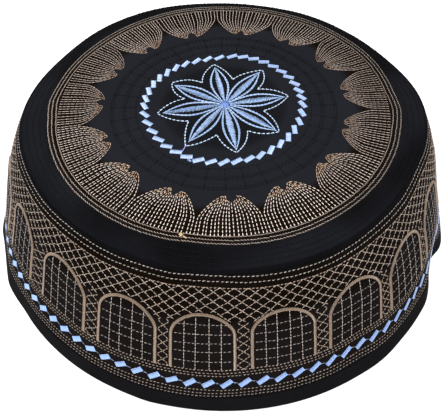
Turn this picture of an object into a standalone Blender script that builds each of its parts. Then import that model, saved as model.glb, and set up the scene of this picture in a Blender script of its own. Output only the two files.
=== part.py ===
# A round prayer cap: a quilted crown with a rolled shoulder, a flared side band and a turned hem.
# Metres, +Z up. The cap stands on its hem at z = 0, its front faces -Y, and the origin lies
# below the middle of its outline.

import math

import bpy
from mathutils import Vector

# Driving sizes
RIM_RADIUS = 0.0950  # outside of the lower edge, for a head of 58 cm
SEAM_RADIUS = 0.0761  # outside of the seam between crown and side band
SEAM_HEIGHT = 0.0588  # that seam above the lower edge
BAND_BELLY = 0.0008  # outward bow of the side band halfway up
SHOULDER_WIDTH = 0.0097  # from the flat of the crown out to the seam
SHOULDER_DROP = 0.0031  # from the flat of the crown down to the seam
CROWN_DOME = 0.0013  # rise of the crown's middle above the edge of its flat
CROWN_THICKNESS = 0.0022  # layers of cloth quilted together
BAND_THICKNESS = 0.0022  # the same, under the embroidery
HEM_DEPTH = 0.0075  # height of the plain turned hem
HEM_THICKNESS = 0.0030  # the cloth folded over on itself
HEM_ROUND = 0.0009  # rounding of the hem's lower edges
FOLD_LENGTH = 0.0013  # straight cloth that the crown turns down with, above the seam
SEAM_GAP = 0.0003  # room between two pieces at a seam
WELD_DISTANCE = 0.00001  # points closer than this are one point

# How finely the shapes are cut into flat faces
TURN_STEPS = 80
DOME_RINGS = 4
SHOULDER_RINGS = 5
BAND_RINGS = 7

# The corner that the shoulder's curve leans towards, as shares of its width and its drop
SHOULDER_CORNER = (0.62, 0.40)

# The cap is soft and stands a little out of round. Each row is a level, which is 0 at the lower
# edge, 1 at the seam and most at the edge of the crown's flat, and what is added to the radius
# there in the twelve directions of a clock seen from above, 6 at the front and 3 at +X, as
# shares of the rim radius.
HOURS = 12
FORM_COLUMNS = ("level", 12, 1, 2, 3, 4, 5, 6, 7, 8, 9, 10, 11)
FORM_ROWS = (
    (0.00, 0.000, 0.000, -0.002, -0.009, -0.008, 0.002, 0.000, 0.000, 0.004, 0.019, 0.010, 0.000),
    (0.25, 0.000, 0.000, -0.001, -0.005, -0.004, -0.005, 0.002, 0.002, 0.004, 0.021, 0.017, 0.005),
    (0.60, -0.010, -0.005, -0.006, 0.010, 0.000, 0.000, 0.000, 0.000, 0.005, 0.032, 0.019, 0.005),
    (0.85, -0.028, -0.021, -0.018, 0.020, -0.005, 0.000, 0.000, 0.000, 0.005, 0.034, 0.009, -0.004),
    (1.00, -0.036, -0.034, -0.021, 0.017, -0.010, 0.005, 0.000, 0.000, 0.005, 0.020, -0.006, -0.009),
    (1.05, 0.000, 0.000, 0.000, 0.000, 0.000, 0.000, 0.000, 0.000, 0.000, 0.000, 0.000, 0.000),
)
FORM = [dict(zip(FORM_COLUMNS, row)) for row in FORM_ROWS]

# Dents and bumps of the hem: the direction in degrees from +X, half the width in degrees, the
# push as a share of the rim radius, inwards if negative, and the level that it reaches up to.
DENT_COLUMNS = ("direction", "half_width", "push", "reach")
DENT_ROWS = (
    (-19.0, 14.0, -0.038, 0.40),
    (-12.0, 5.5, 0.027, 0.30),
    (183.0, 8.0, 0.013, 0.27),
    (203.0, 9.0, 0.014, 0.27),
    (252.0, 7.0, 0.004, 0.15),
    (308.0, 9.0, 0.005, 0.15),
)
DENTS = [dict(zip(DENT_COLUMNS, row)) for row in DENT_ROWS]

# Colours and roughness of each cloth
CLOTHS = {
    "crown_cloth": {"colour": (0.016, 0.019, 0.027, 1.0), "roughness": 0.86},
    "band_cloth": {"colour": (0.060, 0.046, 0.036, 1.0), "roughness": 0.84},
    "hem_cloth": {"colour": (0.012, 0.014, 0.020, 1.0), "roughness": 0.88},
}


def clear_scene():
    for thing in list(bpy.data.objects):
        bpy.data.objects.remove(thing, do_unlink=True)


def make_collection(name):
    collection = bpy.data.collections.new(name)
    bpy.context.scene.collection.children.link(collection)
    return collection


def make_cloth(name):
    material = bpy.data.materials.new(name)
    material.use_nodes = True
    shader = material.node_tree.nodes["Principled BSDF"]
    shader.inputs["Base Color"].default_value = CLOTHS[name]["colour"]
    shader.inputs["Roughness"].default_value = CLOTHS[name]["roughness"]
    shader.inputs["Metallic"].default_value = 0.0
    return material


def eased(before, start, end, after, share):
    # A smooth curve from start to end that leaves and arrives in line with its neighbours.
    bend = 2 * before - 5 * start + 4 * end - after
    twist = 3 * start - before - 3 * end + after
    return start + 0.5 * share * ((end - before) + share * (bend + share * twist))


def form_at(row, angle):
    # The row's change of radius in one direction, eased from hour to hour round the clock.
    hour = (math.pi / 2 - angle) / math.tau * HOURS
    first = math.floor(hour)
    around = [row[(first + step) % HOURS or HOURS] for step in (-1, 0, 1, 2)]
    return eased(*around, hour - first)


def form_change(angle, level):
    # The change of radius at a direction and a level, eased from row to row.
    last = len(FORM) - 1
    if level >= FORM[last]["level"]:
        return 0.0
    below = max(index for index in range(last) if FORM[index]["level"] <= level)
    low, high = FORM[below]["level"], FORM[below + 1]["level"]
    picks = [FORM[max(below - 1, 0)], FORM[below], FORM[below + 1], FORM[min(below + 2, last)]]
    return RIM_RADIUS * eased(*[form_at(row, angle) for row in picks], (level - low) / (high - low))


def dent_change(angle, level):
    total = 0.0
    for dent in DENTS:
        turned = (math.degrees(angle) - dent["direction"] + 180) % 360 - 180
        across = turned / dent["half_width"]
        up = level / dent["reach"]
        if abs(across) < 1 and up < 1:
            fade = (1 + math.cos(math.pi * across)) * (1 + math.cos(math.pi * up)) / 4
            total += RIM_RADIUS * dent["push"] * fade
    return total


def band_radius(height):
    # Outside of the even, round cap from its lower edge up to the seam.
    share = height / SEAM_HEIGHT
    bow = 4 * BAND_BELLY * share * (1 - share)
    return RIM_RADIUS + (SEAM_RADIUS - RIM_RADIUS) * share + bow


def band_slope(height):
    # The side band's direction there, as a unit vector that points down and out.
    share = height / SEAM_HEIGHT
    growth = SEAM_RADIUS - RIM_RADIUS + 4 * BAND_BELLY * (1 - 2 * share)
    return Vector((-growth, -SEAM_HEIGHT)).normalized()


def offset_inwards(points, thickness):
    # The inside of a wall: each point moved square to the outside, mitred at the bends.
    normals = []
    for start, end in zip(points, points[1:]):
        along = (end - start).normalized()
        normals.append(Vector((along.y, -along.x)))
    inside = []
    for index, point in enumerate(points):
        before = normals[max(index - 1, 0)]
        after = normals[min(index, len(normals) - 1)]
        mitre = (before + after).normalized()
        inside.append(point + mitre * (thickness / mitre.dot(before)))
    return inside


def wall_section(outside, levels, thickness):
    # Each point is its radius, its height, and the level that sets its share of the form. Both
    # sides of the wall have the same levels, so that they move together.
    inside = offset_inwards(outside, thickness)
    down = [(point.x, point.y, level) for point, level in zip(outside, levels)]
    up = [(point.x, point.y, level) for point, level in zip(inside, levels)]
    return down + up[::-1]


def crown_section():
    # From the middle of the dome, over the shoulder, down to the seam, and back inside.
    seam = Vector((SEAM_RADIUS, SEAM_HEIGHT))
    fold = seam - band_slope(SEAM_HEIGHT) * FOLD_LENGTH
    edge = Vector((SEAM_RADIUS - SHOULDER_WIDTH, SEAM_HEIGHT + SHOULDER_DROP))
    corner = edge + Vector((SHOULDER_CORNER[0] * SHOULDER_WIDTH, -SHOULDER_CORNER[1] * SHOULDER_DROP))
    outside = []
    for ring in range(DOME_RINGS):
        share = ring / DOME_RINGS
        outside.append(Vector((edge.x * share, edge.y + CROWN_DOME * (1 - share * share))))
    for ring in range(SHOULDER_RINGS + 1):
        share = ring / SHOULDER_RINGS
        leg = edge.lerp(corner, share)
        outside.append(leg.lerp(corner.lerp(fold, share), share))
    outside.append(seam)
    flat_level = FORM[-1]["level"]
    across = [(SEAM_RADIUS - point.x) / SHOULDER_WIDTH for point in outside]
    levels = [1 + (flat_level - 1) * share for share in across]
    section = wall_section(outside, levels, CROWN_THICKNESS)
    section[-1] = (0.0, outside[0].y - CROWN_THICKNESS, levels[0])
    return section


def band_section():
    # From just under the seam down to just over the hem.
    top = Vector((SEAM_RADIUS, SEAM_HEIGHT)) + band_slope(SEAM_HEIGHT) * SEAM_GAP
    bottom = HEM_DEPTH + SEAM_GAP
    heights = [top.y + (bottom - top.y) * ring / BAND_RINGS for ring in range(BAND_RINGS + 1)]
    outside = [Vector((band_radius(height), height)) for height in heights]
    return wall_section(outside, [height / SEAM_HEIGHT for height in heights], BAND_THICKNESS)


def hem_section():
    # Down the outside, across the flat lower edge and up the inside.
    top = Vector((band_radius(HEM_DEPTH), HEM_DEPTH))
    down = band_slope(HEM_DEPTH)
    inner_top = top + Vector((down.y, -down.x)) * HEM_THICKNESS
    inner_edge = RIM_RADIUS - HEM_THICKNESS
    turn = HEM_ROUND * (1 - math.sqrt(0.5))
    points = [
        (top.x, top.y),
        (band_radius(HEM_DEPTH / 2), HEM_DEPTH / 2),
        (band_radius(HEM_ROUND), HEM_ROUND),
        (RIM_RADIUS - turn, turn),
        (RIM_RADIUS - HEM_ROUND, 0.0),
        (inner_edge + HEM_ROUND, 0.0),
        (inner_edge + turn, turn),
        (inner_edge, HEM_ROUND),
    ]
    section = [(radius, height, height / SEAM_HEIGHT) for radius, height in points]
    return [*section, (inner_top.x, inner_top.y, HEM_DEPTH / SEAM_HEIGHT)]


def turned_piece(name, section, closed, cloth, collection):
    # Turns the section about Z, and then moves each point of the mesh to the cap's uneven form.
    edges = [(i, i + 1) for i in range(len(section) - 1)]
    if closed:
        edges.append((len(section) - 1, 0))
    outline = bpy.data.meshes.new(name + "_outline")
    outline.from_pydata([(radius, 0.0, height) for radius, height, level in section], edges, [])
    levels = outline.attributes.new("level", "FLOAT", "POINT")
    levels.data.foreach_set("value", [level for radius, height, level in section])
    piece = bpy.data.objects.new(name, outline)
    collection.objects.link(piece)
    screw = piece.modifiers.new("turn", "SCREW")
    screw.axis = "Z"
    screw.steps = screw.render_steps = TURN_STEPS
    screw.use_merge_vertices = True
    screw.merge_threshold = WELD_DISTANCE
    bpy.context.view_layer.update()
    turned = bpy.data.meshes.new_from_object(piece.evaluated_get(bpy.context.evaluated_depsgraph_get()))
    piece.modifiers.clear()
    piece.data = turned
    bpy.data.meshes.remove(outline)
    turned.name = name
    for vertex, level in zip(turned.vertices, turned.attributes["level"].data):
        reach = math.hypot(vertex.co.x, vertex.co.y)
        if reach > SEAM_GAP:
            angle = math.atan2(vertex.co.y, vertex.co.x)
            change = form_change(angle, level.value) + dent_change(angle, level.value)
            vertex.co.x *= 1 + change / reach
            vertex.co.y *= 1 + change / reach
    turned.materials.clear()
    turned.materials.append(cloth)
    turned.shade_smooth()
    return piece


def centre_on_origin(pieces):
    # Slides all pieces together, so that the outline's middle lies on the Z axis.
    points = [vertex.co for piece in pieces for vertex in piece.data.vertices]
    middle_x = (min(p.x for p in points) + max(p.x for p in points)) / 2
    middle_y = (min(p.y for p in points) + max(p.y for p in points)) / 2
    for piece in pieces:
        for vertex in piece.data.vertices:
            vertex.co.x -= middle_x
            vertex.co.y -= middle_y
        piece.data.update()


def main():
    clear_scene()
    cap = make_collection("prayer_cap")
    crown = turned_piece("crown", crown_section(), False, make_cloth("crown_cloth"), cap)
    band = turned_piece("side_band", band_section(), True, make_cloth("band_cloth"), cap)
    hem = turned_piece("hem", hem_section(), True, make_cloth("hem_cloth"), cap)
    centre_on_origin([crown, band, hem])


main()
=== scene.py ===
import math

import bpy
import numpy as np
from mathutils import Matrix, Vector
from mathutils.bvhtree import BVHTree


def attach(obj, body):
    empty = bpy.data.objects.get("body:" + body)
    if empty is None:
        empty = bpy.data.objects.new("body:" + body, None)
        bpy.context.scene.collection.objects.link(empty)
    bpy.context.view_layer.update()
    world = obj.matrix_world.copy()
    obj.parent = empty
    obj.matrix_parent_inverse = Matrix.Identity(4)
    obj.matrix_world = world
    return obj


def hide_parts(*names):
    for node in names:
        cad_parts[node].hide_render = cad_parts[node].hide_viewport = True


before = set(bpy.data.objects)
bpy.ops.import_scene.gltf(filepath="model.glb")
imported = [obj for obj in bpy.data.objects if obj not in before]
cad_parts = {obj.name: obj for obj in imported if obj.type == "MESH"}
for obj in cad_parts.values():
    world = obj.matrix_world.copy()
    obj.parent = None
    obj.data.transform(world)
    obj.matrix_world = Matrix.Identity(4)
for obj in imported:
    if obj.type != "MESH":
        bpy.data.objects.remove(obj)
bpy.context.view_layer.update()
random = np.random.default_rng(11)
print("frame loaded")

# The pattern is laid out in millimetres and degrees: directions are counted from +X, seen from
# above, so the front is at -90, and "along" is the way from the crown's middle over the shoulder
# and down the side. Only what reaches a mesh is in metres.
mm = 0.001

capForm = {
    "rimRadius": 95.0,
    "seamRadius": 76.1,
    "seamHeight": 58.8,
    "bandBelly": 0.8,
    "flatEdge": (66.4, 61.9),
    "shoulderCorner": (72.41, 60.66),
    "foldEdge": (75.64, 60.02),
    "crownDome": 1.3,
    "seamGap": 0.3,
    "clothWall": 2.2,
    "hemHeight": 7.5,
    "hemWall": 3.0,
    "hemRound": 0.9,
}


def runningLength(points):
    # how far along a bent line each of its points is
    return np.concatenate([[0], np.cumsum(np.linalg.norm(np.diff(points, axis=0), axis=1))])


def tableRows(table):
    return [dict(zip(table["columns"], row)) for row in table["rows"]]


def evenSection():
    # radius and height of the even cap's outside, from the crown's middle to the rim
    form = capForm
    edge, corner, fold = (np.array(form[key]) for key in ("flatEdge", "shoulderCorner", "foldEdge"))
    share = np.linspace(0, 1, 90)
    dome = np.column_stack([edge[0] * share, edge[1] + form["crownDome"] * (1 - share ** 2)])
    share = np.linspace(0, 1, 40)[1:, None]
    shoulder = edge * (1 - share) ** 2 + 2 * corner * share * (1 - share) + fold * share ** 2
    height = np.linspace(form["seamHeight"], 0, 120)
    up = height / form["seamHeight"]
    radius = form["rimRadius"] + (form["seamRadius"] - form["rimRadius"]) * up
    radius += 4 * form["bandBelly"] * up * (1 - up)
    return np.vstack([dome, shoulder, np.column_stack([radius, height])])


def radiusAtHeight(height):
    return np.interp(-np.asarray(height, float), -section[:, 1], section[:, 0])


section = evenSection()
sectionAlong = runningLength(section)


def alongAtRadius(radius):
    return np.interp(radius, section[:, 0], sectionAlong)


def alongAtHeight(height):
    return np.interp(-np.asarray(height, float), -section[:, 1], sectionAlong)


def findAxis():
    # the crown's highest point is on the axis that the cap was turned about
    top = max((vertex.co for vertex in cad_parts["crown"].data.vertices), key=lambda co: co.z)
    return Vector((top.x, top.y, 0.0))


def easeRound(table, count):
    # a table of a few directions, eased to many all round
    few = len(table)
    at = np.arange(count) / count * few
    first = np.floor(at).astype(int)
    share = (at - first)[:, None]
    before, start, end, after = (table[(first + step) % few] for step in (-1, 0, 1, 2))
    bend = 2 * before - 5 * start + 4 * end - after
    twist = 3 * start - before - 3 * end + after
    return start + 0.5 * share * ((end - before) + share * (bend + share * twist))


def measureForm():
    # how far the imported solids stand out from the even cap, in each direction and at each height
    corners, faces = [], []
    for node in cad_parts.values():
        first = len(corners)
        corners += [vertex.co.copy() for vertex in node.data.vertices]
        faces += [[first + index for index in face.vertices] for face in node.data.polygons]
    solids = BVHTree.FromPolygons(corners, faces)
    table = []
    for step in range(formRays["directions"]):
        turned = math.tau * step / formRays["directions"]
        outwards = Vector((math.cos(turned), math.sin(turned), 0.0))
        row = []
        for height in formRays["heights"]:
            start = capAxis + outwards * 0.2 + Vector((0.0, 0.0, height * mm))
            spot = solids.ray_cast(start, -outwards)[0]
            reach = (spot - capAxis - Vector((0.0, 0.0, height * mm))).length / mm
            row.append(reach - radiusAtHeight(height))
        table.append(row)
    around = easeRound(np.array(table), formRays["columns"])
    levels = np.arange(0, capForm["seamHeight"] + 1)
    even = np.array([np.interp(levels, formRays["heights"], row) for row in around])
    padded = np.pad(even, ((0, 0), (2, 2)), mode="edge")
    return sum(padded[:, k:k + len(levels)] for k in range(5)) / 5


formRays = {
    "directions": 80,
    "columns": 720,
    "heights": (1.0, 3.8, 7.3, 11.0, 15.0, 22.3, 29.5, 36.8, 44.0, 51.3, 58.3),
}
capAxis = findAxis()
formTable = measureForm()
print("form measured", formTable.shape, round(float(formTable.min()), 2), round(float(formTable.max()), 2))


def formShift(angle, height):
    # the measured form between its columns and heights
    columns, rows = formTable.shape
    column = np.asarray(angle) % 360 / 360 * columns
    row = np.clip(height, 0, rows - 1.001)
    left, low = np.floor(column).astype(int), np.floor(row).astype(int)
    across, up = column - left, row - low
    left, right = left % columns, (left + 1) % columns
    lower = formTable[left, low] * (1 - across) + formTable[right, low] * across
    upper = formTable[left, low + 1] * (1 - across) + formTable[right, low + 1] * across
    return lower * (1 - up) + upper * up


clothSwell = 0.13  # how uneven the soft cloth is, in millimetres


def softWave(angle, along):
    # long shallow waves all over, which the embroidery follows too
    turned = np.radians(angle)
    wave = np.sin(3 * turned + 0.09 * along + 1.3) + np.sin(5 * turned - 0.13 * along + 0.4)
    wave += 0.6 * np.sin(9 * turned + 0.21 * along + 2.0) + 0.5 * np.sin(14 * turned - 0.17 * along)
    return clothSwell * wave * np.clip(along / 25, 0, 1) * np.clip((sectionAlong[-1] - along) / 8, 0, 1)


def capSurface(angle, along):
    form = capForm
    radius = np.interp(along, sectionAlong, section[:, 0])
    height = np.interp(along, sectionAlong, section[:, 1])
    share = np.clip((form["seamRadius"] - radius) / (form["seamRadius"] - form["flatEdge"][0]), 0, 1)
    radius = radius + formShift(angle, height) * (1 - share) ** 2 * (1 + 2 * share)
    wave = softWave(angle, along)
    steep = np.clip((along - alongAtRadius(form["flatEdge"][0])) / 10, 0, 1)
    radius, height = radius + wave * steep, height + wave * (1 - steep)
    turned = np.radians(angle)
    return np.stack([radius * np.cos(turned), radius * np.sin(turned), height], -1)


def capNormal(angle, along):
    step = 0.4
    along = np.maximum(along, 2 * step)
    side = capSurface(angle + step, along) - capSurface(angle - step, along)
    down = capSurface(angle, along + step) - capSurface(angle, along - step)
    normal = np.cross(down, side)
    return normal / np.linalg.norm(normal, axis=-1, keepdims=True)


def onCap(angle, along, lift=0.0):
    # points in millimetres round the cap's own axis, lifted off its outside
    angle, along = np.broadcast_arrays(np.asarray(angle, float), np.asarray(along, float))
    return capSurface(angle, along) + capNormal(angle, along) * np.asarray(lift)[..., None]


def intoScene(points):
    return points * mm + np.array(capAxis)


def deselectAll():
    if bpy.context.object and bpy.context.object.mode != "OBJECT":
        bpy.ops.object.mode_set(mode="OBJECT")
    bpy.ops.object.select_all(action="DESELECT")


def srgb(red, green, blue):
    # a colour as it is picked on a screen, made linear
    return tuple((value / 255 / 12.92) if value < 11 else ((value / 255 + 0.055) / 1.055) ** 2.4
                 for value in (red, green, blue))


# Shader groups

def newGroup(name, inputs, outputs):
    group = bpy.data.node_groups.new(name, "ShaderNodeTree")
    for label, kind, value in inputs:
        socket = group.interface.new_socket(name=label, in_out="INPUT", socket_type=kind)
        socket.default_value = value
    for label, kind in outputs:
        group.interface.new_socket(name=label, in_out="OUTPUT", socket_type=kind)
    return group, group.nodes.new("NodeGroupInput"), group.nodes.new("NodeGroupOutput")


def addNode(tree, kind, links=None, **settings):
    # a node with its settings, its fixed inputs and its links
    node = tree.nodes.new(kind)
    for key, value in settings.items():
        setattr(node, key, value)
    for key, value in (links or {}).items():
        if isinstance(value, bpy.types.NodeSocket):
            tree.links.new(value, node.inputs[key])
        else:
            node.inputs[key].default_value = value
    return node


def addMath(tree, operation, first, second):
    return addNode(tree, "ShaderNodeMath", {0: first, 1: second}, operation=operation).outputs[0]


def makeFibreGroup():
    # spun thread: fine streaks of light and dark, and a little fuzz in the normal
    group, given, result = newGroup(
        "spunFibres",
        [("Colour", "NodeSocketColor", (0.5, 0.5, 0.5, 1)), ("Grain", "NodeSocketFloat", 2600.0),
         ("Contrast", "NodeSocketFloat", 0.25), ("Fuzz", "NodeSocketFloat", 0.3),
         ("Roughness", "NodeSocketFloat", 0.4)],
        [("Colour", "NodeSocketColor"), ("Roughness", "NodeSocketFloat"), ("Normal", "NodeSocketVector")])
    place = addNode(group, "ShaderNodeTexCoord").outputs["Object"]
    fine = addNode(group, "ShaderNodeTexNoise",
                   {"Vector": place, "Scale": given.outputs["Grain"], "Detail": 2.0})
    wide = addNode(group, "ShaderNodeTexNoise", {"Vector": place, "Scale": 140.0, "Detail": 2.0})
    both = addMath(group, "ADD", fine.outputs["Fac"], wide.outputs["Fac"])
    centred = addMath(group, "SUBTRACT", both, 1.0)
    scaled = addMath(group, "MULTIPLY", centred, given.outputs["Contrast"])
    factor = addMath(group, "ADD", scaled, 1.0)
    shaded = addNode(group, "ShaderNodeVectorMath", {0: given.outputs["Colour"], 1: factor},
                     operation="MULTIPLY")
    uneven = addNode(group, "ShaderNodeMapRange",
                     {"Value": fine.outputs["Fac"], "To Min": 0.75, "To Max": 1.25})
    rough = addMath(group, "MULTIPLY", uneven.outputs[0], given.outputs["Roughness"])
    bump = addNode(group, "ShaderNodeBump",
                   {"Height": fine.outputs["Fac"], "Strength": given.outputs["Fuzz"], "Distance": 0.00008})
    group.links.new(shaded.outputs[0], result.inputs["Colour"])
    group.links.new(rough, result.inputs["Roughness"])
    group.links.new(bump.outputs[0], result.inputs["Normal"])
    return group


def makeWeaveGroup():
    # plain black cloth: crossing threads, slubs, and a trace of dust
    group, given, result = newGroup(
        "wovenCloth",
        [("Colour", "NodeSocketColor", (0.02, 0.02, 0.03, 1)),
         ("Dust", "NodeSocketColor", (0.1, 0.1, 0.11, 1)),
         ("Dust Share", "NodeSocketFloat", 0.1), ("Thread Scale", "NodeSocketFloat", 1.0)],
        [("Colour", "NodeSocketColor"), ("Roughness", "NodeSocketFloat"), ("Normal", "NodeSocketVector")])
    place = addNode(group, "ShaderNodeTexCoord")
    sheet = addNode(group, "ShaderNodeVectorMath",
                    {0: place.outputs["UV"], "Scale": given.outputs["Thread Scale"]}, operation="SCALE")
    warp, weft = (addNode(group, "ShaderNodeTexWave",
                          {"Vector": sheet.outputs[0], "Scale": 0.55, "Distortion": 0.8, "Detail": 1.0},
                          bands_direction=direction).outputs["Fac"] for direction in "XY")
    spot = place.outputs["Object"]
    slub, cloud = (addNode(group, "ShaderNodeTexNoise",
                           {"Vector": spot, "Scale": scale, "Detail": detail}).outputs["Fac"]
                   for scale, detail in ((420.0, 4.0), (45.0, 3.0)))
    height = addMath(group, "ADD", addMath(group, "MULTIPLY", warp, weft), slub)
    bump = addNode(group, "ShaderNodeBump", {"Height": height, "Strength": 0.55, "Distance": 0.00012})
    lint, haze = (addNode(group, "ShaderNodeMapRange",
                          {"Value": value, "From Min": low, "From Max": high}).outputs[0]
                  for value, low, high in ((slub, 0.56, 0.80), (cloud, 0.35, 0.75)))
    dusted = addMath(group, "MULTIPLY", addMath(group, "ADD", lint, haze), given.outputs["Dust Share"])
    colour = addNode(group, "ShaderNodeMix", {"Factor": dusted}, data_type="RGBA")
    group.links.new(given.outputs["Colour"], colour.inputs[6])
    group.links.new(given.outputs["Dust"], colour.inputs[7])
    rough = addNode(group, "ShaderNodeMapRange", {"Value": slub, "To Min": 0.74, "To Max": 0.96})
    group.links.new(colour.outputs[2], result.inputs["Colour"])
    group.links.new(rough.outputs[0], result.inputs["Roughness"])
    group.links.new(bump.outputs[0], result.inputs["Normal"])
    return group


fibreGroup = makeFibreGroup()
weaveGroup = makeWeaveGroup()


def newMaterial(name):
    material = bpy.data.materials.new(name)
    material.use_nodes = True
    return material, material.node_tree, material.node_tree.nodes["Principled BSDF"]


def linkSurface(tree, group, shader):
    for output, socket in (("Colour", "Base Color"), ("Roughness", "Roughness"), ("Normal", "Normal")):
        tree.links.new(group.outputs[output], shader.inputs[socket])


def threadMaterial(name, settings):
    # embroidery thread, coloured stitch by stitch from the piece's own attribute
    material, tree, shader = newMaterial(name)
    dyed = addNode(tree, "ShaderNodeAttribute", attribute_name="dye")
    fibres = addNode(tree, "ShaderNodeGroup",
                     {"Colour": dyed.outputs["Color"], "Contrast": settings["contrast"],
                      "Fuzz": settings["fuzz"], "Roughness": settings["roughness"]}, node_tree=fibreGroup)
    linkSurface(tree, fibres, shader)
    shader.inputs["IOR"].default_value = settings["ior"]
    shader.inputs["Specular IOR Level"].default_value = settings["specular"]
    return material


def clothMaterial(name, settings):
    # black cloth, coloured from place to place by its own attribute, with painted top light in it
    material, tree, shader = newMaterial(name)
    groundAndTopLight = addNode(tree, "ShaderNodeAttribute", attribute_name="groundAndTopLight")
    weave = addNode(tree, "ShaderNodeGroup",
                    {"Colour": groundAndTopLight.outputs["Color"], "Dust": (*settings["dust"], 1),
                     "Dust Share": settings["dustShare"]}, node_tree=weaveGroup)
    linkSurface(tree, weave, shader)
    shader.inputs["Specular IOR Level"].default_value = settings["specular"]
    return material


clothLook = {
    "black": srgb(6, 6, 8),
    "underFans": srgb(10, 5, 2),
    "underLattice": srgb(9, 4, 1),
    "inArches": srgb(15, 11, 10),
    "atHem": srgb(12, 11, 13),
    # painted top light and sheen: the lighter tone of cloth that faces up
    "flat": srgb(21, 22, 26),
    "dust": srgb(70, 71, 78),
    "dustShare": 0.025,
    "specular": 0.02,
}
tanLook = {"contrast": 0.30, "fuzz": 0.30, "roughness": 0.36, "ior": 1.5, "specular": 1.0}
blueLook = {"contrast": 0.16, "fuzz": 0.15, "roughness": 0.30, "ior": 1.55, "specular": 1.0}
quietLook = {"contrast": 0.35, "fuzz": 0.40, "roughness": 0.50, "ior": 1.5, "specular": 0.4}
blackLook = {"contrast": 0.20, "fuzz": 0.20, "roughness": 0.80, "ior": 1.5, "specular": 0.03}

clothFinish = clothMaterial("blackQuiltedCotton", clothLook)
tanFinish = threadMaterial("tanThread", tanLook)
blueFinish = threadMaterial("blueThread", blueLook)
quietFinish = threadMaterial("dullBrownThread", quietLook)
blackFinish = threadMaterial("blackThread", blackLook)
print("materials made")


# Stitches

def modelStitch(settings):
    # one stitch along X, 2 long, 2 wide and 2 high, with ends that dive into the cloth
    deselectAll()
    bpy.ops.mesh.primitive_cylinder_add(vertices=settings["sides"], radius=1, depth=2,
                                        rotation=(0, math.pi / 2, 0))
    stitch = bpy.context.object
    bpy.ops.object.transform_apply(rotation=True)
    bpy.ops.object.mode_set(mode="EDIT")
    for place in (-settings["crest"], settings["crest"]):
        bpy.ops.mesh.select_all(action="SELECT")
        bpy.ops.mesh.bisect(plane_co=(place, 0, 0), plane_no=(1, 0, 0))
    bpy.ops.object.mode_set(mode="OBJECT")
    for vertex in stitch.data.vertices:
        vertex.select = abs(vertex.co.x) > 0.9
    bpy.ops.object.mode_set(mode="EDIT")
    bpy.ops.transform.resize(value=(1, settings["endWidth"], settings["endWidth"]))
    bpy.ops.transform.translate(value=(0, 0, -settings["endSink"]))
    bpy.ops.mesh.select_all(action="SELECT")
    bpy.ops.mesh.normals_make_consistent(inside=False)
    bpy.ops.object.mode_set(mode="OBJECT")
    corners = np.array([vertex.co for vertex in stitch.data.vertices])
    faces = [list(face.vertices) for face in stitch.data.polygons]
    bpy.data.objects.remove(stitch)
    return corners, faces


stitchShape = {"sides": 5, "crest": 0.7, "endWidth": 0.6, "endSink": 0.45}
stitchCorners, stitchFaces = modelStitch(stitchShape)


def crownPlace(points):
    # direction and radius on the crown to direction and along
    return np.column_stack([points[:, 0], alongAtRadius(points[:, 1])])


def flatPlace(points):
    # right and back on the crown, seen from above, to direction and along
    radius = np.hypot(points[:, 0], points[:, 1])
    return np.column_stack([np.degrees(np.arctan2(points[:, 1], points[:, 0])), alongAtRadius(radius)])


def roundValue(table, column, angle):
    # a short table of directions, read between its rows
    directions = [row[0] for row in table["rows"]]
    values = [row[table["columns"].index(column)] for row in table["rows"]]
    return np.interp(angle, directions, values, period=360)


bandDrift = {
    # how far the side's rows stray upwards, in millimetres, and onwards low down, in degrees
    "columns": ("direction", "atBlocks", "atTop", "slide"),
    "rows": (
        (-165, -0.3, 0.5, 1.0), (-150, -0.3, 0.5, 0.7), (-144, 0.0, 0.5, 0.65), (-140, 0.5, 0.5, 0.65),
        (-131, 0.6, 0.3, 0.5), (-123, -0.2, 0.0, 0.45), (-111, -0.1, 0.0, 0.35), (-104, 0.0, -0.4, 0.2),
        (-98, 0.0, 0.3, 0.1), (-92, 0.2, 0.3, 0.0), (-86, 0.7, -0.3, -0.2), (-82, 0.7, -0.6, -0.3),
        (-78, 0.2, -0.7, -0.4), (-66, 0.0, -0.7, -0.6), (-60, 0.6, -0.5, -0.75), (-57, 0.7, -0.4, -0.8),
        (-53, -0.3, -0.3, -0.8), (-48, -0.8, -0.1, -0.65), (-40, -0.3, -0.3, -0.7), (-34, 0.6, -0.7, -1.4),
        (-28, 1.2, 0.0, -1.2), (-22, 0.5, 1.0, -0.6), (-5, 0.0, 0.0, 0.0), (175, 0.0, 0.0, 0.0),
    ),
}
blocksHeight, springHeight, topLineHeight = 14.3, 35.3, 58.0


def bandPlace(points):
    # direction and height on the side to direction and along, with the rows' wandering
    angle, height = points[:, 0], points[:, 1]
    low, high, slide = (roundValue(bandDrift, column, angle) for column in bandDrift["columns"][1:])
    share = np.clip((height - blocksHeight) / (topLineHeight - blocksHeight), 0, 1)
    slide = slide * np.clip((springHeight - height) / (springHeight - blocksHeight), 0, 1)
    return np.column_stack([angle + slide, alongAtHeight(height + low * (1 - share) + high * share)])


def stitches(start, end, width, height, dye, lift=0.0, variety=0.08):
    # a set of stitches from start to end, each (direction, along), dyed a little unevenly
    count = len(start)
    shade = 1 + variety * random.standard_normal((count, 1))
    hue = 1 + 0.25 * variety * random.standard_normal((count, 3))
    return {
        "start": start, "end": end,
        "width": np.broadcast_to(np.asarray(width, float), (count,)),
        "height": np.broadcast_to(np.asarray(height, float), (count,)),
        "lift": np.broadcast_to(np.asarray(lift, float), (count,)),
        "dye": np.clip(np.broadcast_to(np.asarray(dye, float), (count, 3)) * shade * hue, 0.002, 1),
    }


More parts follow.
